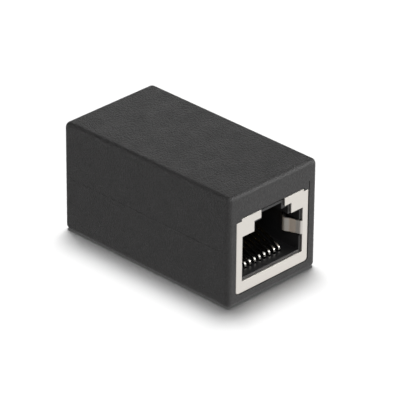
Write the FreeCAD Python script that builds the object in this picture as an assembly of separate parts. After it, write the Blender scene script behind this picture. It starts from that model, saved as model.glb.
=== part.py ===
# Shielded RJ45 inline coupler: two side-entry jacks hang back to back under one circuit board,
# closed in a two-piece moulded shell that is parted at mid height.
#
# Frame: X across the coupler, Y along it, Z up. The origin is the middle of the bottom face.
# The front socket opens towards -Y and the rear socket towards +Y. Sizes are in millimetres.
#
# The sizes run from the inside out: socket, housing, shield, shell.
# One jack is modelled with Y as the depth behind its faceplate, then seated at each end.

import FreeCAD
import Part
import math
import os

Vector = FreeCAD.Vector

# ---- Driving dimensions ----

# Socket opening in the jack housing: the plug's body, then the ledge and the slot for its latch.
socket_width = 11.8
socket_height = 6.85
socket_depth = 11.3
ledge_width = 6.9
ledge_height = 1.38
latch_width = 4.1
latch_height = 1.04

# Jack housing round the socket.
housing_side = 1.34
housing_floor = 2.05
housing_roof = 0.4
housing_edge = 0.35
comb_thickness = 1.1
comb_rise = 0.7
chamber_side = 1.7
chamber_floor = 0.75
peg_diameter = 1.2
peg_height = 1.3
peg_offset = 4.6
peg_depth = 5.5

# Contact wires, formed from flat spring wire.
contact_count = 8
contact_pitch = 1.016
wire_width = 0.36
wire_thickness = 0.3
groove_depth = 0.44
wire_setback = 1.77
wire_bend = 0.5
wire_return = 0.9
wire_rise_angle = 22.0
wire_tip_gap = 0.25
row_spacing = 2.54
row_inset = 0.5
tail_length = 1.1

# Moulded carrier that holds the wires at the back of the housing.
carrier_depth = 3.4
carrier_edge = 0.3

# Shield, folded from one sheet.
sheet = 0.25
plate_reveal = 0.42
plate_reveal_socket = 0.1
plate_reveal_ledge = 0.4
plate_rise = 0.26
shoulder_width = 1.07
shoulder_drop = 0.41
shield_bend = 0.6
plate_edge = 0.2
flap_slit = 0.3
flap_slit_inset = 0.5
flap_slit_rise = 1.2
window_depth = 9.0
window_length = 2.2
window_height = 1.5
window_drop = 1.6
ground_tail_width = 1.2
ground_tail_depth = 8.0
ground_tail_length = 0.8

# Spring tabs that the faceplate turns into the socket on both sides.
tab_rise = 2.5
tab_height = 2.2
tab_root = 0.3
tab_root_bend = 0.3
tab_knee_depth = 1.85
tab_knee_reach = 0.65
tab_knee_bend = 1.0
tab_crest_depth = 2.95
tab_crest_reach = 1.2
tab_crest_bend = 0.5
tab_tip_depth = 3.65
tab_relief = 0.05
tab_pocket_wall = 0.55

# Circuit board.
board_thickness = 1.0
pin_hole = 0.75
solder_radius = 0.42
solder_top_radius = 0.27
solder_height = 0.55

# Shell.
side_wall = 1.66
bottom_wall = 1.65
top_wall = 1.42
end_wall = 1.3
board_headroom = 1.91
long_edge_radius = 0.9
end_edge_radius = 0.8
middle_rib = 0.8
middle_rib_height = 7.0
middle_rib_width = 11.0
face_recess = 0.05
tongue_thickness = 0.6
tongue_height = 0.9
tongue_inset = 2.0
bead_height = 0.15
bead_length = 5.0
bead_offset = 9.0
seam_groove = 0.06
seam_groove_inset = 1.2
board_rib = 0.8
board_rib_offset = 6.1
board_rib_length = 24.0
slit_width = 0.15
slit_height = 0.8

# Clearances.
sheet_fit = 0.05
carrier_fit = 0.05
groove_fit = 0.08
wire_fit = 0.03
window_fit = 0.1
tab_fit = 0.25
board_fit = 0.05
board_end_fit = 0.15
board_side_fit = 0.2
peg_fit = 0.05
ground_tail_fit = 0.1
jack_fit = 0.05
jack_back_fit = 0.15
window_top_fit = 0.15
crown_fit = 0.15
shoulder_fit = 0.05
tongue_fit = 0.05
rib_fit = 0.1

# ---- Derived places ----

# Across the coupler, as half widths.
housing_half = socket_width / 2 + housing_side
shield_half = housing_half + sheet_fit + sheet
cavity_half = shield_half + jack_fit
shell_half = cavity_half + side_wall
crown_half = shield_half - shoulder_width
plate_open_half = socket_width / 2 + plate_reveal

# Upwards.
shield_bottom = bottom_wall + jack_fit
housing_bottom = shield_bottom + sheet + sheet_fit
socket_bottom = housing_bottom + housing_floor
socket_top = socket_bottom + socket_height
ledge_top = socket_top + ledge_height
latch_top = ledge_top + latch_height
housing_top = latch_top + housing_roof
plate_top = housing_top + plate_rise
shoulder_top = plate_top - shoulder_drop
board_bottom = housing_top + board_fit
board_top = board_bottom + board_thickness
window_top = plate_top + window_top_fit
ceiling = board_top + board_headroom
shell_top = ceiling + top_wall
seam = shell_top / 2

# Behind the faceplate.
housing_front = sheet + sheet_fit
socket_back = housing_front + socket_depth
comb_back = socket_back + comb_thickness
carrier_front = comb_back + carrier_fit
carrier_back = carrier_front + carrier_depth
housing_back = carrier_back + carrier_fit
shield_inner_back = housing_back + sheet_fit
jack_depth = shield_inner_back + sheet

# Along the coupler.
face_distance = middle_rib / 2 + jack_back_fit + jack_depth
shell_end = face_distance + face_recess
board_end = shell_end - end_wall - board_end_fit

# Wires.
groove_bottom = socket_bottom - groove_depth
wire_low = groove_bottom + wire_thickness / 2
wire_tip_depth = comb_back - wire_tip_gap
wire_front = housing_front + wire_setback
wire_slope = math.tan(math.radians(wire_rise_angle))
wire_tip_height = wire_low + wire_return + (wire_tip_depth - wire_front) * wire_slope
comb_top = wire_tip_height + comb_rise
rear_row = carrier_back - row_inset
front_row = rear_row - row_spacing
tail_top = board_top + tail_length
tab_low = socket_bottom + tab_rise
tab_high = tab_low + tab_height

# Cuts run past the faces that they open by this much, and faces are told apart to within this much.
overrun = 1.0
tolerance = 0.001

# Small round details that repeat at every pin are drawn with this many sides.
post_sides = 8


# ---- Shape helpers ----

def block(x_low, x_high, y_low, y_high, z_low, z_high):
    """Box between two corners."""
    return Part.makeBox(x_high - x_low, y_high - y_low, z_high - z_low, Vector(x_low, y_low, z_low))


def centred_block(half_width, y_low, y_high, z_low, z_high):
    """Box that is centred across the coupler."""
    return block(-half_width, half_width, y_low, y_high, z_low, z_high)


def edges_along(shape, direction, keep=lambda middle: True):
    """Straight edges of a shape that run along a direction and whose middle is wanted."""
    found = []
    for edge in shape.Edges:
        if len(edge.Vertexes) < 2:
            continue
        span = edge.Vertexes[1].Point - edge.Vertexes[0].Point
        if span.Length and abs(span.normalize().dot(direction)) > 0.999 and keep(edge.CenterOfMass):
            found.append(edge)
    return found


def mirror_across(shape):
    """The same shape on the other side of the coupler."""
    return shape.mirror(Vector(0, 0, 0), Vector(1, 0, 0))


def both_sides(shape):
    """A shape and its mirror image across the coupler."""
    return [shape, mirror_across(shape)]


def profile_along_y(points, y_low, y_high):
    """Prism along the coupler from an outline of (x, z) points."""
    corners = [Vector(x, y_low, z) for x, z in points]
    face = Part.Face(Part.makePolygon(corners + corners[:1]))
    return face.extrude(Vector(0, y_high - y_low, 0))


def line(start, end):
    """Straight edge between two points."""
    return Part.LineSegment(start, end).toShape()


def bend_arc(corner, before, after, bend, offset):
    """Arc that rounds a corner of a flat path, seen from an offset to the left of the path."""
    turn = math.acos(max(-1.0, min(1.0, before.dot(after))))
    reach = bend * math.tan(turn / 2)
    inward = (after - before).normalize()
    centre = corner + inward * (bend / math.cos(turn / 2))
    normal_before = Vector(-before.y, before.x, 0)
    normal_after = Vector(-after.y, after.x, 0)
    start = corner - before * reach + normal_before * offset
    middle = centre - inward * bend + (normal_before + normal_after).normalize() * offset
    end = corner + after * reach + normal_after * offset
    return start, middle, end


def strip_side(points, bends, offset):
    """One long side of a bent strip: its edges, its first point and its last point."""
    legs = [(end - start).normalize() for start, end in zip(points, points[1:])]
    first = points[0] + Vector(-legs[0].y, legs[0].x, 0) * offset
    last = points[-1] + Vector(-legs[-1].y, legs[-1].x, 0) * offset
    edges = []
    reached = first
    for corner, before, after, bend in zip(points[1:], legs, legs[1:], bends):
        arc_start, arc_middle, arc_end = bend_arc(corner, before, after, bend, offset)
        edges.append(line(reached, arc_start))
        edges.append(Part.Arc(arc_start, arc_middle, arc_end).toShape())
        reached = arc_end
    edges.append(line(reached, last))
    return edges, first, last


def ribbon(path, bends, thickness):
    """Face of a strip bent along a flat path of (u, v) points.

    Each inner point of the path turns on its own bend radius, measured to the strip's middle.
    """
    points = [Vector(u, v, 0) for u, v in path]
    left, left_first, left_last = strip_side(points, bends, thickness / 2)
    right, right_first, right_last = strip_side(points, bends, -thickness / 2)
    caps = [line(left_first, right_first), line(left_last, right_last)]
    return Part.Face(Part.Wire(Part.sortEdges(left + right + caps)[0]))


def faceted_post(low_radius, high_radius, height, base):
    """Upright post with few sides, for the small round details that repeat at every pin."""
    rings = []
    for radius, z in ((low_radius, base.z), (high_radius, base.z + height)):
        corners = []
        for side in range(post_sides):
            angle = 2 * math.pi * side / post_sides
            corners.append(Vector(base.x + radius * math.cos(angle), base.y + radius * math.sin(angle), z))
        rings.append(Part.makePolygon(corners + corners[:1]))
    return Part.makeLoft(rings, True, True)


def strip_across(path, bends, thickness, x_middle, width):
    """Bent strip whose path lies in the (depth, height) plane and whose width runs along X."""
    face = ribbon(path, bends, thickness)
    solid = face.extrude(Vector(0, 0, width))
    solid.rotate(Vector(0, 0, 0), Vector(1, 1, 1), 120)
    solid.translate(Vector(x_middle - width / 2, 0, 0))
    return solid


def strip_upright(path, bends, thickness, z_low, height):
    """Bent strip whose path lies in the (x, depth) plane and whose width runs along Z."""
    solid = ribbon(path, bends, thickness).extrude(Vector(0, 0, height))
    solid.translate(Vector(0, 0, z_low))
    return solid


def stepped_opening(y_low, y_high, top, margin=0.0, socket_margin=0.0, ledge_margin=0.0):
    """The socket's stepped outline as a prism along Y, grown at its sides and at its two steps."""
    wide = socket_width / 2 + margin
    ledge = ledge_width / 2 + margin
    latch = latch_width / 2 + margin
    socket_step = socket_top + socket_margin
    ledge_step = ledge_top + ledge_margin
    half = [(wide, socket_bottom - margin), (wide, socket_step), (ledge, socket_step),
            (ledge, ledge_step), (latch, ledge_step), (latch, top)]
    outline = half + [(-x, z) for x, z in reversed(half)]
    return profile_along_y(outline, y_low, y_high)


# ---- Contact wires ----

def contact_x(index):
    """Place of a contact across the coupler; index counts from 0 at -X."""
    return (index - (contact_count - 1) / 2) * contact_pitch


def contact_row(index):
    """Depth of a contact's board pin; the pins stand in two staggered rows."""
    return front_row if index % 2 == 0 else rear_row


def wire_path(index):
    """From the board pin down the carrier, forward under the socket and back up as the spring."""
    row = contact_row(index)
    return [(row, tail_top), (row, wire_low), (wire_front, wire_low),
            (wire_front, wire_low + wire_return), (wire_tip_depth, wire_tip_height)]


def contact_wire(index, clearance=0.0):
    """One formed contact wire, or the passage for it when a clearance is given."""
    thickness = wire_thickness + 2 * clearance
    width = wire_width + 2 * clearance
    return strip_across(wire_path(index), [wire_bend] * 3, thickness, contact_x(index), width)


# ---- Jack pieces ----

def jack_housing():
    """Moulded insert with the stepped socket, wire grooves, comb, tab pockets and board pegs."""
    body = centred_block(housing_half, housing_front, housing_back, housing_bottom, shoulder_top)
    lower_edges = edges_along(body, Vector(0, 1, 0), lambda middle: middle.z < socket_bottom)
    body = body.makeFillet(housing_edge, lower_edges)
    crown = centred_block(crown_half - crown_fit, housing_front, comb_back, socket_top, housing_top)
    body = body.fuse(crown)

    peg = Part.makeCylinder(peg_diameter / 2, peg_height, Vector(peg_offset, peg_depth, housing_top))
    latch_boss = shield_window_boss()
    body = body.fuse(both_sides(peg) + both_sides(latch_boss)).removeSplitter()

    cuts = [stepped_opening(housing_front - overrun, socket_back, latch_top)]
    chamber_half = housing_half - chamber_side
    chamber_bottom = housing_bottom + chamber_floor
    cuts.append(centred_block(chamber_half, comb_back, housing_back + overrun, chamber_bottom,
                              shoulder_top + overrun))
    slot_half = wire_width / 2 + groove_fit
    groove_front = wire_front - wire_thickness / 2 - 2 * groove_fit
    for index in range(contact_count):
        x = contact_x(index)
        cuts.append(block(x - slot_half, x + slot_half, groove_front, comb_back + overrun,
                          groove_bottom, socket_bottom + overrun))
        cuts.append(block(x - slot_half, x + slot_half, socket_back - overrun, comb_back + overrun,
                          groove_bottom, comb_top))
    pocket = block(0, housing_half - tab_pocket_wall, housing_front - overrun, tab_tip_depth + tab_fit,
                   tab_low - tab_fit, tab_high + tab_fit)
    cuts += both_sides(pocket)
    return body.cut(Part.makeCompound(cuts)).removeSplitter()


def shield_window_boss():
    """Wedge on the housing's side that snaps into the shield's window."""
    top = shoulder_top - window_drop - window_fit
    bottom = top - window_height + 2 * window_fit
    reach = sheet_fit + sheet
    outline = [(housing_half - sheet, bottom), (housing_half, bottom), (housing_half + reach, top),
               (housing_half - sheet, top)]
    return profile_along_y(outline, window_depth + window_fit, window_depth + window_length - window_fit)


def contact_carrier():
    """Moulded block at the back of the housing, formed round the eight wires."""
    half = housing_half - chamber_side - carrier_fit
    bottom = housing_bottom + chamber_floor + carrier_fit
    body = centred_block(half, carrier_front, carrier_back, bottom, housing_top)
    upright = edges_along(body, Vector(0, 0, 1), lambda middle: middle.y > carrier_front + carrier_edge)
    body = body.makeFillet(carrier_edge, upright)
    passages = [contact_wire(index, wire_fit) for index in range(contact_count)]
    return body.cut(Part.makeCompound(passages))


def folded_tray(inset):
    """Tray with rounded folds; an inset of one sheet gives its inside."""
    half = shield_half - inset
    tray = centred_block(half, inset, jack_depth - inset, shield_bottom + inset, shoulder_top)
    bottom_edges = edges_along(tray, Vector(0, 1, 0), lambda middle: middle.z < socket_bottom)
    tray = tray.makeFillet(shield_bend - inset, bottom_edges)
    if inset == 0:
        tray = round_plate_edges(tray)
    return tray


def round_plate_edges(tray):
    """Eases the outer edges of the faceplate, where the sheet folds back."""
    front = [edge for edge in tray.Edges if edge.BoundBox.YMax < tolerance]
    lower = [edge for edge in front if edge.BoundBox.ZMin < shoulder_top - tolerance]
    return tray.makeFillet(plate_edge, lower)


def spring_tab():
    """Tab on the +X side: folded back from the faceplate, sprung into the socket."""
    edge = plate_open_half
    middle = sheet / 2
    path = [(edge + tab_root, middle), (edge - middle / 2, middle),
            (edge - tab_knee_reach, tab_knee_depth), (edge - tab_crest_reach, tab_crest_depth),
            (edge, tab_tip_depth)]
    bends = [tab_root_bend, tab_knee_bend, tab_crest_bend]
    return strip_upright(path, bends, sheet, tab_low, tab_height)


def shield():
    """Folded shield: faceplate with its stepped opening and tabs, sides, bottom and back flap."""
    body = folded_tray(0).cut(centred_block(shield_half - sheet, sheet, jack_depth - sheet,
                                            shoulder_top, shoulder_top + overrun))
    hollow = folded_tray(sheet)
    hollow_top = centred_block(shield_half - sheet, sheet, jack_depth - sheet,
                               shoulder_top - overrun, shoulder_top + overrun)
    body = body.cut(hollow.fuse(hollow_top))
    crown = centred_block(crown_half, 0, sheet, shoulder_top - overrun, plate_top)
    ground_tail = block(shield_half - sheet, shield_half, ground_tail_depth,
                        ground_tail_depth + ground_tail_width, shoulder_top - overrun,
                        board_top + ground_tail_length)
    body = body.fuse([crown] + both_sides(ground_tail))

    slit = block(shield_half - flap_slit_inset - flap_slit, shield_half - flap_slit_inset,
                 jack_depth - sheet - overrun, jack_depth + overrun,
                 shield_bottom + flap_slit_rise, shoulder_top + overrun)
    window_top_edge = shoulder_top - window_drop
    window = block(shield_half - overrun, shield_half + overrun, window_depth,
                   window_depth + window_length, window_top_edge - window_height, window_top_edge)
    cuts = both_sides(slit) + both_sides(window)
    cuts.append(stepped_opening(-overrun, sheet + sheet_fit, plate_top + overrun,
                                plate_reveal, plate_reveal_socket, plate_reveal_ledge))
    relief = block(plate_open_half - overrun, plate_open_half + tab_relief, -overrun,
                   sheet + sheet_fit, tab_low - tab_relief, tab_high + tab_relief)
    cuts += both_sides(relief)
    body = body.cut(Part.makeCompound(cuts))
    return body.fuse(both_sides(spring_tab())).removeSplitter()


def solder_joints():
    """Solder fillets round the eight pin tails, as one group."""
    joints = []
    for index in range(contact_count):
        centre = Vector(contact_x(index), contact_row(index), board_top)
        fillet = faceted_post(solder_radius, solder_top_radius, solder_height, centre)
        joints.append(fillet.cut(contact_wire(index)))
    return Part.makeCompound(joints)


# ---- Seating at the two ends ----

def seat_front(shape):
    """Moves a jack piece to the front end."""
    seated = shape.copy()
    seated.translate(Vector(0, -face_distance, 0))
    return seated


def seat_rear(shape):
    """Moves a jack piece to the rear end, turned half round."""
    seated = seat_front(shape)
    seated.rotate(Vector(0, 0, 0), Vector(0, 0, 1), 180)
    return seated


def seat_both(shapes):
    """Jack shapes at both ends of the coupler."""
    return [seat(shape) for seat in (seat_front, seat_rear) for shape in shapes]


# ---- Circuit board ----

def circuit_board():
    """Board that both jacks are soldered to, with its pin, peg and ground tail holes."""
    board = centred_block(cavity_half - board_side_fit, -board_end, board_end,
                          board_bottom, board_top)
    holes = []
    for index in range(contact_count):
        centre = Vector(contact_x(index), contact_row(index), board_bottom - overrun)
        holes.append(faceted_post(pin_hole / 2, pin_hole / 2, board_thickness + 2 * overrun, centre))
    peg_hole = Part.makeCylinder(peg_diameter / 2 + peg_fit, board_thickness + 2 * overrun,
                                 Vector(peg_offset, peg_depth, board_bottom - overrun))
    notch = block(shield_half - sheet - ground_tail_fit, shield_half + overrun,
                  ground_tail_depth - ground_tail_fit,
                  ground_tail_depth + ground_tail_width + ground_tail_fit,
                  board_bottom - overrun, board_top + overrun)
    holes += both_sides(peg_hole) + both_sides(notch)
    return board.cut(Part.makeCompound(seat_both(holes)))


# ---- Shell ----

def rounded_case():
    """The closed outside of the shell."""
    case = centred_block(shell_half, -shell_end, shell_end, 0, shell_top)
    case = case.makeFillet(long_edge_radius, edges_along(case, Vector(0, 1, 0)))
    end_edges = [edge for edge in case.Edges
                 if edge.BoundBox.YLength < tolerance
                 and abs(abs(edge.CenterOfMass.y) - shell_end) < tolerance]
    return case.makeFillet(end_edge_radius, end_edges)


def case_inside():
    """Everything that is hollow in the shell: the tunnel for the jacks and the board's room."""
    far = shell_end + overrun
    tunnel = centred_block(cavity_half, -far, far, bottom_wall, shoulder_top + shoulder_fit)
    low_edges = edges_along(tunnel, Vector(0, 1, 0), lambda middle: middle.z < seam)
    tunnel = tunnel.makeFillet(shield_bend + jack_fit, low_edges)
    crown_way = centred_block(crown_half + shoulder_fit, -far, far, seam, window_top)
    room_end = shell_end - end_wall
    room = centred_block(cavity_half, -room_end, room_end, seam, ceiling)
    slit = block(cavity_half - slit_width / 2, cavity_half + slit_width / 2, -far, 0, shoulder_top,
                 window_top + slit_height)
    other_slit = slit.copy()
    other_slit.rotate(Vector(0, 0, 0), Vector(0, 0, 1), 180)
    return tunnel.fuse([crown_way, room, slit, other_slit]).removeSplitter()


def seam_tongue(clearance):
    """Tongues along both side walls with their snap beads, or the rebates for them."""
    end = shell_end - tongue_inset + clearance
    outer = cavity_half + tongue_thickness + clearance
    rail = block(cavity_half, outer, -end, end, seam - overrun, seam + tongue_height + clearance)
    bead_middle = seam + tongue_height / 2
    bead = [(outer, bead_middle - bead_height), (outer + bead_height, bead_middle),
            (outer, bead_middle + bead_height)]
    bead_half = bead_length / 2 + clearance
    beads = [profile_along_y(bead, place - bead_half, place + bead_half)
             for place in (-bead_offset, bead_offset)]
    rail = rail.fuse(beads)
    return rail.fuse(mirror_across(rail))


def seam_grooves():
    """Fine V grooves that draw the parting line along both sides."""
    end = shell_end - seam_groove_inset
    outline = [(shell_half + seam_groove, seam - 2 * seam_groove), (shell_half - seam_groove, seam),
               (shell_half + seam_groove, seam + 2 * seam_groove)]
    return Part.makeCompound(both_sides(profile_along_y(outline, -end, end)))


def shell_half_solid(z_low, z_high):
    """The hollow shell between two heights."""
    slab = centred_block(shell_half + overrun, -shell_end - overrun, shell_end + overrun, z_low, z_high)
    return rounded_case().common(slab).cut(case_inside()).cut(seam_grooves())


def lower_shell():
    """Lower half: floor, side walls, the rib between the jacks and the seam's tongues."""
    body = shell_half_solid(-overrun, seam)
    rib = centred_block(middle_rib_width / 2, -middle_rib / 2, middle_rib / 2, bottom_wall / 2,
                        bottom_wall + middle_rib_height)
    return body.fuse([rib, seam_tongue(0.0)]).removeSplitter()


def upper_shell():
    """Upper half: roof, side walls, bars above the sockets, board ribs and the seam's rebates."""
    body = shell_half_solid(seam, shell_top + overrun)
    rib = block(board_rib_offset, board_rib_offset + board_rib, -board_rib_length / 2,
                board_rib_length / 2, board_top + rib_fit, ceiling + top_wall / 2)
    return body.fuse(both_sides(rib)).cut(seam_tongue(tongue_fit)).removeSplitter()


# ---- Assembly ----

def build():
    """Every piece of the coupler by name."""
    pieces = {
        "lower_shell": lower_shell(),
        "upper_shell": upper_shell(),
        "circuit_board": circuit_board(),
    }
    jack = {
        "shield": shield(),
        "jack_housing": jack_housing(),
        "contact_carrier": contact_carrier(),
        "solder_joints": solder_joints(),
    }
    for index in range(contact_count):
        jack["contact_%d" % (index + 1)] = contact_wire(index)
    for end, seat in (("front", seat_front), ("rear", seat_rear)):
        for name, shape in jack.items():
            pieces[end + "_" + name] = seat(shape)
    return pieces


os.makedirs("parts", exist_ok=True)
for name, shape in build().items():
    shape.exportStep("parts/%s.step" % name)
    print("%-22s solids %2d  volume %9.3f  valid %s"
          % (name, len(shape.Solids), shape.Volume, shape.isValid()))
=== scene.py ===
import bpy
import math
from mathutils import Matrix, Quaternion, Vector

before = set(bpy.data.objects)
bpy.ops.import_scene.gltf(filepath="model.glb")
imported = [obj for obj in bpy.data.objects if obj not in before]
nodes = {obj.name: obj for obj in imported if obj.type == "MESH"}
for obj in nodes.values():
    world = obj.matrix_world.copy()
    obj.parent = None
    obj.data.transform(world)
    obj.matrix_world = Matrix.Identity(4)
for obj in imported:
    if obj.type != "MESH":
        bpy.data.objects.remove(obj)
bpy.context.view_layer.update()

mm = 0.001
middle = Vector((0, 0, 9 * mm))    # of the coupler
ends = ("front", "rear")
white = (1.0, 1.0, 1.0, 1.0)
bevelSamples = 6
noiseLow, noiseHigh = 0.3, 0.7     # a noise with some detail seldom leaves this range
firstColour, secondColour, mixedColour = 6, 7, 2    # the colour sockets of a Mix node
print("frame loaded:", len(nodes), "nodes")


def linearColour(hexText):
    # sRGB hex such as "2b2b2c" to the linear colour that shaders want
    parts = [int(hexText[i:i + 2], 16) / 255 for i in (0, 2, 4)]
    parts = [p / 12.92 if p <= 0.04045 else ((p + 0.055) / 1.055) ** 2.4 for p in parts]
    return (*parts, 1.0)


def addNode(tree, kind, settings=None, links=None):
    # a setting goes to the node's own property, or to its input of that name or number;
    # links are input: (node, output)
    node = tree.nodes.new(kind)
    for key, value in (settings or {}).items():
        if isinstance(key, str) and hasattr(node, key):
            setattr(node, key, value)
        else:
            node.inputs[key].default_value = value
    for key, (source, output) in (links or {}).items():
        tree.links.new(source.outputs[output], node.inputs[key])
    return node


def newMaterial(name):
    material = bpy.data.materials.new(name)
    material.use_nodes = True
    material.node_tree.nodes.clear()
    return material, material.node_tree


def dress(nodeNames, material):
    for name in nodeNames:
        for slot in nodes[name].material_slots:
            slot.material = material


# looks down on the front socket and the -X side
cameraLook = {
    "azimuth": -45.51,      # degrees, 0 looks along +Y
    "elevation": 28.58,
    "roll": 0.47,
    "distance": 522.52 * mm,
    "target": (3.531 * mm, 1.217 * mm, 6.189 * mm),
    "lens": 315.55,         # a long lens, from over half a metre away
    "nearest": 10 * mm,     # what is closer than this is cut away
}


def makeCamera(look):
    turn, rise = math.radians(look["azimuth"]), math.radians(look["elevation"])
    back = Vector((math.sin(turn) * math.cos(rise),
                   -math.cos(turn) * math.cos(rise),
                   math.sin(rise)))
    bpy.ops.object.camera_add()
    camera = bpy.context.object
    camera.name = "camera"
    camera.data.lens = look["lens"]
    camera.data.clip_start = look["nearest"]
    camera.location = Vector(look["target"]) + back * look["distance"]
    camera.rotation_mode = "QUATERNION"
    roll = Quaternion((0, 0, 1), math.radians(look["roll"]))
    camera.rotation_quaternion = (-back).to_track_quat("-Z", "Y") @ roll
    bpy.context.scene.camera = camera


makeCamera(cameraLook)
print("camera placed")


# a sheet of pale paper, given a painted glow of its own, and the world's even light: brighter
# from one side, and from under the horizon, where it stands for what the paper throws back
studio = {
    "floorSize": 4.0,
    "floorColour": "d9d9d9",
    "paintedFloorLight": 0.04,              # painted light: the paper glows a little of itself, which lifts the coupler's shadow
    "fadeToWhite": (0.15, 0.6),     # metres out over which that painted glow rises until the paper is as white as the rest
    "brightSide": (0.6, -0.8, 0.0),
    "below": (0.27, 0.97),          # from under the horizon, on the dim and on the bright side
    "above": (0.1, 0.1),            # and from over it
    "horizon": 0.02,                # half the height over which one turns into the other
}

# softboxes: where they stand, how wide they are and what they light; "rear" rakes the top
softboxes = {
    "overhead": {"place": (0.48, 0.52, 3.0), "size": 1.12, "power": 140.0, "lights": "floor"},
    "right": {"place": (1.1, -0.25, 0.75), "size": 0.9, "power": 7.1, "lights": "coupler"},
    "frontRight": {"place": (0.97, -0.82, 0.45), "size": 0.5, "power": 7.2, "lights": "coupler"},
    "frontLeft": {"place": (-0.6, -0.9, 1.0), "size": 0.8, "power": 9.9, "lights": "coupler"},
    "left": {"place": (-0.25, 0.2, 0.1), "size": 0.14, "power": 0.32, "lights": "coupler"},
    "rear": {"place": (0.2, 0.22, 0.08), "size": 0.08, "power": 0.06, "lights": "coupler"},
}


def addSoftbox(name, box, receivers):
    bpy.ops.object.light_add(type="AREA", location=box["place"])
    light = bpy.context.object
    light.name = name
    light.data.shape = "SQUARE"
    light.data.size = box["size"]
    light.data.energy = box["power"]
    light.rotation_mode = "QUATERNION"
    light.rotation_quaternion = (middle - Vector(box["place"])).to_track_quat("-Z", "Y")
    lit = bpy.data.collections.new("lit by " + name)
    for piece in receivers:
        lit.objects.link(piece)
    light.light_linking.receiver_collection = lit
    light.visible_camera = False


def makeFloor(look):
    bpy.ops.mesh.primitive_plane_add(size=look["floorSize"])
    floor = bpy.context.object
    floor.name = "floor"
    material, tree = newMaterial("matt paper")
    place = addNode(tree, "ShaderNodeTexCoord")
    away = addNode(tree, "ShaderNodeVectorMath", {"operation": "LENGTH"}, {0: (place, "Object")})
    # the paper's emission is painted light: a faint glow that lifts the shadow near the coupler
    # and rises to full white further out
    paintedLight = addNode(tree, "ShaderNodeMapRange",
                   {"From Min": look["fadeToWhite"][0], "From Max": look["fadeToWhite"][1],
                    "To Min": look["paintedFloorLight"], "To Max": 1.0}, {"Value": (away, "Value")})
    surface = addNode(tree, "ShaderNodeBsdfPrincipled",
                      {"Base Color": linearColour(look["floorColour"]), "Roughness": 1.0,
                       "Specular IOR Level": 0.0, "Emission Color": white},
                      {"Emission Strength": (paintedLight, "Result")})
    addNode(tree, "ShaderNodeOutputMaterial", links={"Surface": (surface, "BSDF")})
    floor.data.materials.append(material)
    floor.visible_diffuse = False    # its bounce comes from the world under it instead
    floor.visible_glossy = False
    floor.visible_shadow = False
    return floor


def makeWorld(look):
    world = bpy.data.worlds.new("studio")
    bpy.context.scene.world = world
    world.use_nodes = True
    tree = world.node_tree
    tree.nodes.clear()
    place = addNode(tree, "ShaderNodeTexCoord")
    height = addNode(tree, "ShaderNodeSeparateXYZ", links={"Vector": (place, "Generated")})
    toward = addNode(tree, "ShaderNodeVectorMath",
                     {"operation": "DOT_PRODUCT", 1: look["brightSide"]},
                     {0: (place, "Generated")})
    below = addNode(tree, "ShaderNodeMapRange",
                    {"From Min": -1.0, "From Max": 1.0, "To Min": look["below"][0],
                     "To Max": look["below"][1]}, {"Value": (toward, "Value")})
    above = addNode(tree, "ShaderNodeMapRange",
                    {"From Min": -1.0, "From Max": 1.0, "To Min": look["above"][0],
                     "To Max": look["above"][1]}, {"Value": (toward, "Value")})
    share = addNode(tree, "ShaderNodeMapRange",
                    {"From Min": -look["horizon"], "From Max": look["horizon"]},
                    {"Value": (height, "Z"), "To Min": (below, "Result"),
                     "To Max": (above, "Result")})
    sky = addNode(tree, "ShaderNodeBackground", {"Color": white},
                  {"Strength": (share, "Result")})
    # seen directly, it is plain white
    plain = addNode(tree, "ShaderNodeBackground", {"Color": white, "Strength": 1.0})
    rays = addNode(tree, "ShaderNodeLightPath")
    mixed = addNode(tree, "ShaderNodeMixShader",
                    links={0: (rays, "Is Camera Ray"), 1: (sky, 0), 2: (plain, 0)})
    addNode(tree, "ShaderNodeOutputWorld", links={"Surface": (mixed, 0)})


litThings = {"floor": [makeFloor(studio)], "coupler": list(nodes.values())}
makeWorld(studio)
for name, box in softboxes.items():
    addSoftbox(name, box, litThings[box["lights"]])
bpy.context.scene.view_settings.view_transform = "Standard"
print("studio lit")


# moulded ABS from a spark-eroded tool: near black and matt, with a fine even grain and paler
# specks that sparkle where light falls at a slant, and edges that handling has rubbed smoother
shellFinish = {
    "colours": ("1d1c1c", "2f2e2e"),    # between the pale specks and on them
    "roughness": (0.44, 0.54),
    "rubbed": 0.12,             # taken off the roughness along the edges
    "grain": 0.2 * mm,          # the real grain is about 0.1 mm, drawn coarser so that it shows
    "grainDetail": 1.6,
    "grainHeight": 0.2 * mm,
    "endGrain": 0.3,            # share of that height on the two end faces, which are smoother
    "endFaces": (0.4, 0.95),    # how squarely a face looks along Y, from full to smoother grain
    "speck": 0.17 * mm,         # size of the paler specks
    "speckRange": (0.35, 0.65),    # noise between these goes from the dark to the pale colour
    "cloud": 3.0 * mm,          # slow change of gloss across a face
    "cloudDetail": 3.0,
    "edge": 0.1 * mm,           # radius of the moulded edges
    "edgeBend": (0.7, 0.98),    # cosine of an edge's turn, from fully rubbed to not at all
    "ior": 1.53,
}


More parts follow.
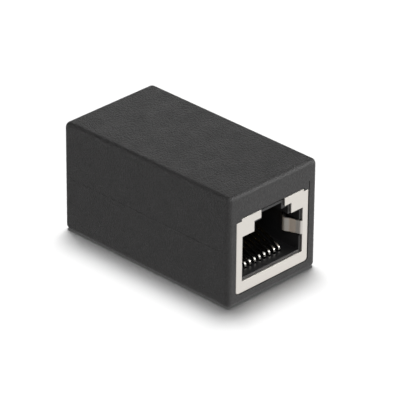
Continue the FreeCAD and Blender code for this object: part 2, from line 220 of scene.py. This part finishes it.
def mouldedShell(look):
    material, tree = newMaterial("spark-eroded ABS")
    place = addNode(tree, "ShaderNodeTexCoord")
    grain = addNode(tree, "ShaderNodeTexNoise",
                    {"Scale": 1 / look["grain"], "Detail": look["grainDetail"]},
                    {"Vector": (place, "Object")})
    speck = addNode(tree, "ShaderNodeTexNoise", {"Scale": 1 / look["speck"], "Detail": 0.0},
                    {"Vector": (place, "Object")})
    cloud = addNode(tree, "ShaderNodeTexNoise",
                    {"Scale": 1 / look["cloud"], "Detail": look["cloudDetail"]},
                    {"Vector": (place, "Object")})
    rounded = addNode(tree, "ShaderNodeBevel", {"samples": bevelSamples, "Radius": look["edge"]})
    faces = addNode(tree, "ShaderNodeNewGeometry")
    bend = addNode(tree, "ShaderNodeVectorMath", {"operation": "DOT_PRODUCT"},
                   {0: (rounded, "Normal"), 1: (faces, "Normal")})
    rub = addNode(tree, "ShaderNodeMapRange",
                  {"From Min": look["edgeBend"][0], "From Max": look["edgeBend"][1],
                   "To Min": look["rubbed"], "To Max": 0.0}, {"Value": (bend, "Value")})
    gloss = addNode(tree, "ShaderNodeMapRange",
                    {"From Min": noiseLow, "From Max": noiseHigh, "To Min": look["roughness"][0],
                     "To Max": look["roughness"][1]}, {"Value": (cloud, "Fac")})
    roughness = addNode(tree, "ShaderNodeMath", {"operation": "SUBTRACT"},
                        {0: (gloss, "Result"), 1: (rub, "Result")})
    pale = addNode(tree, "ShaderNodeMapRange",
                   {"From Min": look["speckRange"][0], "From Max": look["speckRange"][1]},
                   {"Value": (speck, "Fac")})
    tone = addNode(tree, "ShaderNodeMix",
                   {"data_type": "RGBA", firstColour: linearColour(look["colours"][0]),
                    secondColour: linearColour(look["colours"][1])}, {0: (pale, "Result")})
    facing = addNode(tree, "ShaderNodeSeparateXYZ", links={"Vector": (faces, "Normal")})
    endwise = addNode(tree, "ShaderNodeMath", {"operation": "ABSOLUTE"}, {0: (facing, "Y")})
    depth = addNode(tree, "ShaderNodeMapRange",
                    {"From Min": look["endFaces"][0], "From Max": look["endFaces"][1],
                     "To Min": 1.0, "To Max": look["endGrain"]}, {"Value": (endwise, "Value")})
    relief = addNode(tree, "ShaderNodeMath", {"operation": "MULTIPLY"},
                     {0: (grain, "Fac"), 1: (depth, "Result")})
    bump = addNode(tree, "ShaderNodeBump", {"Strength": 1.0, "Distance": look["grainHeight"]},
                   {"Height": (relief, "Value"), "Normal": (rounded, "Normal")})
    surface = addNode(tree, "ShaderNodeBsdfPrincipled", {"IOR": look["ior"]},
                      {"Base Color": (tone, mixedColour), "Roughness": (roughness, "Value"),
                       "Normal": (bump, "Normal")})
    addNode(tree, "ShaderNodeOutputMaterial", links={"Surface": (surface, "BSDF")})
    return material


dress(["lower_shell", "upper_shell"], mouldedShell(shellFinish))
print("shell moulded")


# moulded PBT with glass fibre, from a polished tool: black, smoother than the shell, with faint
# streaks along the way that the plastic flowed
jackFinish = {
    "colours": ("1b1b1c", "212122"),
    "roughness": (0.34, 0.46),
    "streak": (0.3 * mm, 2.5 * mm, 0.3 * mm),   # size of the streaks along X, Y and Z
    "streakDetail": 3.0,
    "streakBreakup": 0.6,       # how strongly each finer layer of the streaks shows
    "streakHeight": 0.02 * mm,
    "edge": 0.08 * mm,
    "ior": 1.57,
}


def mouldedJack(look):
    material, tree = newMaterial("glass-filled PBT")
    place = addNode(tree, "ShaderNodeTexCoord")
    flow = addNode(tree, "ShaderNodeMapping",
                   {"vector_type": "TEXTURE", "Scale": look["streak"]},
                   {"Vector": (place, "Object")})
    streak = addNode(tree, "ShaderNodeTexNoise",
                     {"Scale": 1.0, "Detail": look["streakDetail"],
                      "Roughness": look["streakBreakup"]},
                     {"Vector": (flow, "Vector")})
    rounded = addNode(tree, "ShaderNodeBevel", {"samples": bevelSamples, "Radius": look["edge"]})
    gloss = addNode(tree, "ShaderNodeMapRange",
                    {"From Min": noiseLow, "From Max": noiseHigh, "To Min": look["roughness"][0],
                     "To Max": look["roughness"][1]}, {"Value": (streak, "Fac")})
    tone = addNode(tree, "ShaderNodeMix",
                   {"data_type": "RGBA", firstColour: linearColour(look["colours"][0]),
                    secondColour: linearColour(look["colours"][1])}, {0: (streak, "Fac")})
    bump = addNode(tree, "ShaderNodeBump", {"Strength": 1.0, "Distance": look["streakHeight"]},
                   {"Height": (streak, "Fac"), "Normal": (rounded, "Normal")})
    surface = addNode(tree, "ShaderNodeBsdfPrincipled", {"IOR": look["ior"]},
                      {"Base Color": (tone, mixedColour), "Roughness": (gloss, "Result"),
                       "Normal": (bump, "Normal")})
    addNode(tree, "ShaderNodeOutputMaterial", links={"Surface": (surface, "BSDF")})
    return material


dress([end + part for end in ends for part in ("_jack_housing", "_contact_carrier")],
      mouldedJack(jackFinish))
print("jacks moulded")


# steel strip, cold rolled and then nickel plated: a pale warm grey satin, drawn out in fine
# lines along the rolling direction, with no clear reflections
shieldFinish = {
    "colours": ("e2ddd6", "e9e5df"),
    "roughness": (0.38, 0.46),
    "line": (1.2 * mm, 1.2 * mm, 0.06 * mm),    # rolling lines; the real ones are finer still
    "lineDetail": 2.0,
    "lineHeight": 0.004 * mm,
    "edge": 0.06 * mm,          # rolled-over side of the punched edges
    "tabWithin": 5.85 * mm,     # the sprung tabs are the steel that is this near the middle plane
    "tabHeight": 7.65 * mm,     # at this height,
    "tabReach": 1.2 * mm,       # give or take this
    "tabRoughness": 0.6,        # forming leaves them duller than the faceplate
    "tabColour": "e3d7ca",      # and a little warmer, from the faceplate to the knee
    "kneeAt": 15.1 * mm,        # distance of the knee from the middle of the coupler
}


def platedSheet(look):
    material, tree = newMaterial("nickel-plated steel")
    place = addNode(tree, "ShaderNodeTexCoord")
    rolled = addNode(tree, "ShaderNodeMapping",
                     {"vector_type": "TEXTURE", "Scale": look["line"]},
                     {"Vector": (place, "Object")})
    lines = addNode(tree, "ShaderNodeTexNoise", {"Scale": 1.0, "Detail": look["lineDetail"]},
                    {"Vector": (rolled, "Vector")})
    rounded = addNode(tree, "ShaderNodeBevel", {"samples": bevelSamples, "Radius": look["edge"]})
    gloss = addNode(tree, "ShaderNodeMapRange",
                    {"From Min": noiseLow, "From Max": noiseHigh, "To Min": look["roughness"][0],
                     "To Max": look["roughness"][1]}, {"Value": (lines, "Fac")})
    tone = addNode(tree, "ShaderNodeMix",
                   {"data_type": "RGBA", firstColour: linearColour(look["colours"][0]),
                    secondColour: linearColour(look["colours"][1])}, {0: (lines, "Fac")})
    bump = addNode(tree, "ShaderNodeBump", {"Strength": 1.0, "Distance": look["lineHeight"]},
                   {"Height": (lines, "Fac"), "Normal": (rounded, "Normal")})
    spot = addNode(tree, "ShaderNodeSeparateXYZ", links={"Vector": (place, "Object")})
    aside = addNode(tree, "ShaderNodeMath", {"operation": "ABSOLUTE"}, {0: (spot, "X")})
    within = addNode(tree, "ShaderNodeMath", {"operation": "LESS_THAN", 1: look["tabWithin"]},
                     {0: (aside, "Value")})
    level = addNode(tree, "ShaderNodeMath",
                    {"operation": "COMPARE", 1: look["tabHeight"], 2: look["tabReach"]},
                    {0: (spot, "Z")})
    tab = addNode(tree, "ShaderNodeMath", {"operation": "MULTIPLY"},
                  {0: (within, "Value"), 1: (level, "Value")})
    reach = addNode(tree, "ShaderNodeMath", {"operation": "ABSOLUTE"}, {0: (spot, "Y")})
    outer = addNode(tree, "ShaderNodeMath", {"operation": "GREATER_THAN", 1: look["kneeAt"]},
                    {0: (reach, "Value")})
    warm = addNode(tree, "ShaderNodeMath", {"operation": "MULTIPLY"},
                   {0: (tab, "Value"), 1: (outer, "Value")})
    colour = addNode(tree, "ShaderNodeMix",
                     {"data_type": "RGBA", secondColour: linearColour(look["tabColour"])},
                     {0: (warm, "Value"), firstColour: (tone, mixedColour)})
    dulled = addNode(tree, "ShaderNodeMapRange", {"To Max": look["tabRoughness"]},
                     {"Value": (tab, "Value"), "To Min": (gloss, "Result")})
    surface = addNode(tree, "ShaderNodeBsdfPrincipled", {"Metallic": 1.0},
                      {"Base Color": (colour, mixedColour), "Roughness": (dulled, "Result"),
                       "Normal": (bump, "Normal")})
    addNode(tree, "ShaderNodeOutputMaterial", links={"Surface": (surface, "BSDF")})
    return material


dress([end + "_shield" for end in ends], platedSheet(shieldFinish))
print("shields plated")


# drawn phosphor bronze wire, nickel plated all over, with a flash of gold on the stretch that
# touches the plug: bright and pale at the front bend, warmer further in, with fine drawing lines
contactFinish = {
    "nickel": "9c9a95",         # both darker than clean metal, so that only the lit bend shines
    "gold": "cdb98c",
    "goldFrom": 13.6 * mm,      # distance from the middle of the coupler where the gold ends
    "goldFade": 0.8 * mm,
    "roughness": (0.12, 0.2),
    "line": (0.05 * mm, 1.5 * mm, 0.05 * mm),   # drawing lines, coarser than the real ones
    "lineDetail": 2.0,
    "lineHeight": 0.003 * mm,
    "edge": 0.14 * mm,          # the wire's corners are well rounded by drawing
    "edgeSamples": 8,           # so wide a rounding takes a few more
}


def platedWire(look):
    material, tree = newMaterial("gold-flashed bronze")
    place = addNode(tree, "ShaderNodeTexCoord")
    drawn = addNode(tree, "ShaderNodeMapping",
                    {"vector_type": "TEXTURE", "Scale": look["line"]},
                    {"Vector": (place, "Object")})
    lines = addNode(tree, "ShaderNodeTexNoise", {"Scale": 1.0, "Detail": look["lineDetail"]},
                    {"Vector": (drawn, "Vector")})
    rounded = addNode(tree, "ShaderNodeBevel",
                      {"samples": look["edgeSamples"], "Radius": look["edge"]})
    along = addNode(tree, "ShaderNodeSeparateXYZ", links={"Vector": (place, "Object")})
    reach = addNode(tree, "ShaderNodeMath", {"operation": "ABSOLUTE"}, {0: (along, "Y")})
    flash = addNode(tree, "ShaderNodeMapRange",
                    {"From Min": look["goldFrom"],
                     "From Max": look["goldFrom"] - look["goldFade"]},
                    {"Value": (reach, "Value")})
    tone = addNode(tree, "ShaderNodeMix",
                   {"data_type": "RGBA", firstColour: linearColour(look["nickel"]),
                    secondColour: linearColour(look["gold"])}, {0: (flash, "Result")})
    gloss = addNode(tree, "ShaderNodeMapRange",
                    {"From Min": noiseLow, "From Max": noiseHigh, "To Min": look["roughness"][0],
                     "To Max": look["roughness"][1]}, {"Value": (lines, "Fac")})
    bump = addNode(tree, "ShaderNodeBump", {"Strength": 1.0, "Distance": look["lineHeight"]},
                   {"Height": (lines, "Fac"), "Normal": (rounded, "Normal")})
    surface = addNode(tree, "ShaderNodeBsdfPrincipled", {"Metallic": 1.0},
                      {"Base Color": (tone, mixedColour), "Roughness": (gloss, "Result"),
                       "Normal": (bump, "Normal")})
    addNode(tree, "ShaderNodeOutputMaterial", links={"Surface": (surface, "BSDF")})
    return material


contactNames = [name for name in nodes if name[-1].isdigit()]
dress(contactNames, platedWire(contactFinish))
print("contacts plated:", len(contactNames))


# glass cloth laminate under green solder mask: glossy over a faint weave, with the bare
# yellowish laminate at the sawn edges
boardFinish = {
    "colours": ("174d2b", "21693c"),
    "edgeColour": "b4a66e",
    "roughness": 0.28,
    "edgeRoughness": 0.8,
    "thread": 0.5 * mm,         # spacing of the cloth's threads
    "threadHeight": 0.01 * mm,
    "ior": 1.5,
}


def maskedLaminate(look):
    material, tree = newMaterial("solder-masked laminate")
    place = addNode(tree, "ShaderNodeTexCoord")
    # a wave repeats every tenth of pi at scale 1, so pi / 10 / thread gives one wave a thread
    waveScale = math.pi / 10 / look["thread"]
    warp = addNode(tree, "ShaderNodeTexWave", {"bands_direction": "X", "Scale": waveScale},
                   {"Vector": (place, "Object")})
    weft = addNode(tree, "ShaderNodeTexWave", {"bands_direction": "Y", "Scale": waveScale},
                   {"Vector": (place, "Object")})
    cloth = addNode(tree, "ShaderNodeMath", {"operation": "MULTIPLY"},
                    {0: (warp, "Fac"), 1: (weft, "Fac")})
    mask = addNode(tree, "ShaderNodeMix",
                   {"data_type": "RGBA", firstColour: linearColour(look["colours"][0]),
                    secondColour: linearColour(look["colours"][1])}, {0: (cloth, "Value")})
    faces = addNode(tree, "ShaderNodeNewGeometry")
    facing = addNode(tree, "ShaderNodeSeparateXYZ", links={"Vector": (faces, "Normal")})
    flat = addNode(tree, "ShaderNodeMath", {"operation": "ABSOLUTE"}, {0: (facing, "Z")})
    tone = addNode(tree, "ShaderNodeMix",
                   {"data_type": "RGBA", firstColour: linearColour(look["edgeColour"])},
                   {0: (flat, "Value"), secondColour: (mask, mixedColour)})
    gloss = addNode(tree, "ShaderNodeMapRange",
                    {"To Min": look["edgeRoughness"], "To Max": look["roughness"]},
                    {"Value": (flat, "Value")})
    bump = addNode(tree, "ShaderNodeBump", {"Strength": 1.0, "Distance": look["threadHeight"]},
                   {"Height": (cloth, "Value")})
    surface = addNode(tree, "ShaderNodeBsdfPrincipled", {"IOR": look["ior"]},
                      {"Base Color": (tone, mixedColour), "Roughness": (gloss, "Result"),
                       "Normal": (bump, "Normal")})
    addNode(tree, "ShaderNodeOutputMaterial", links={"Surface": (surface, "BSDF")})
    return material


dress(["circuit_board"], maskedLaminate(boardFinish))
print("board masked")


# tin solder, reflowed: bright, with the slight frost of its crystals
solderFinish = {
    "colours": ("bfc1c3", "d6d7d8"),
    "roughness": (0.18, 0.38),
    "crystal": 0.15 * mm,
    "crystalHeight": 0.006 * mm,
}


def reflowedTin(look):
    material, tree = newMaterial("reflowed tin solder")
    place = addNode(tree, "ShaderNodeTexCoord")
    crystal = addNode(tree, "ShaderNodeTexVoronoi", {"Scale": 1 / look["crystal"]},
                      {"Vector": (place, "Object")})
    gloss = addNode(tree, "ShaderNodeMapRange",
                    {"To Min": look["roughness"][0], "To Max": look["roughness"][1]},
                    {"Value": (crystal, "Distance")})
    tone = addNode(tree, "ShaderNodeMix",
                   {"data_type": "RGBA", firstColour: linearColour(look["colours"][0]),
                    secondColour: linearColour(look["colours"][1])}, {0: (crystal, "Distance")})
    bump = addNode(tree, "ShaderNodeBump", {"Strength": 1.0, "Distance": look["crystalHeight"]},
                   {"Height": (crystal, "Distance")})
    surface = addNode(tree, "ShaderNodeBsdfPrincipled", {"Metallic": 1.0},
                      {"Base Color": (tone, mixedColour), "Roughness": (gloss, "Result"),
                       "Normal": (bump, "Normal")})
    addNode(tree, "ShaderNodeOutputMaterial", links={"Surface": (surface, "BSDF")})
    return material


dress([end + "_solder_joints" for end in ends], reflowedTin(solderFinish))
print("pins soldered")
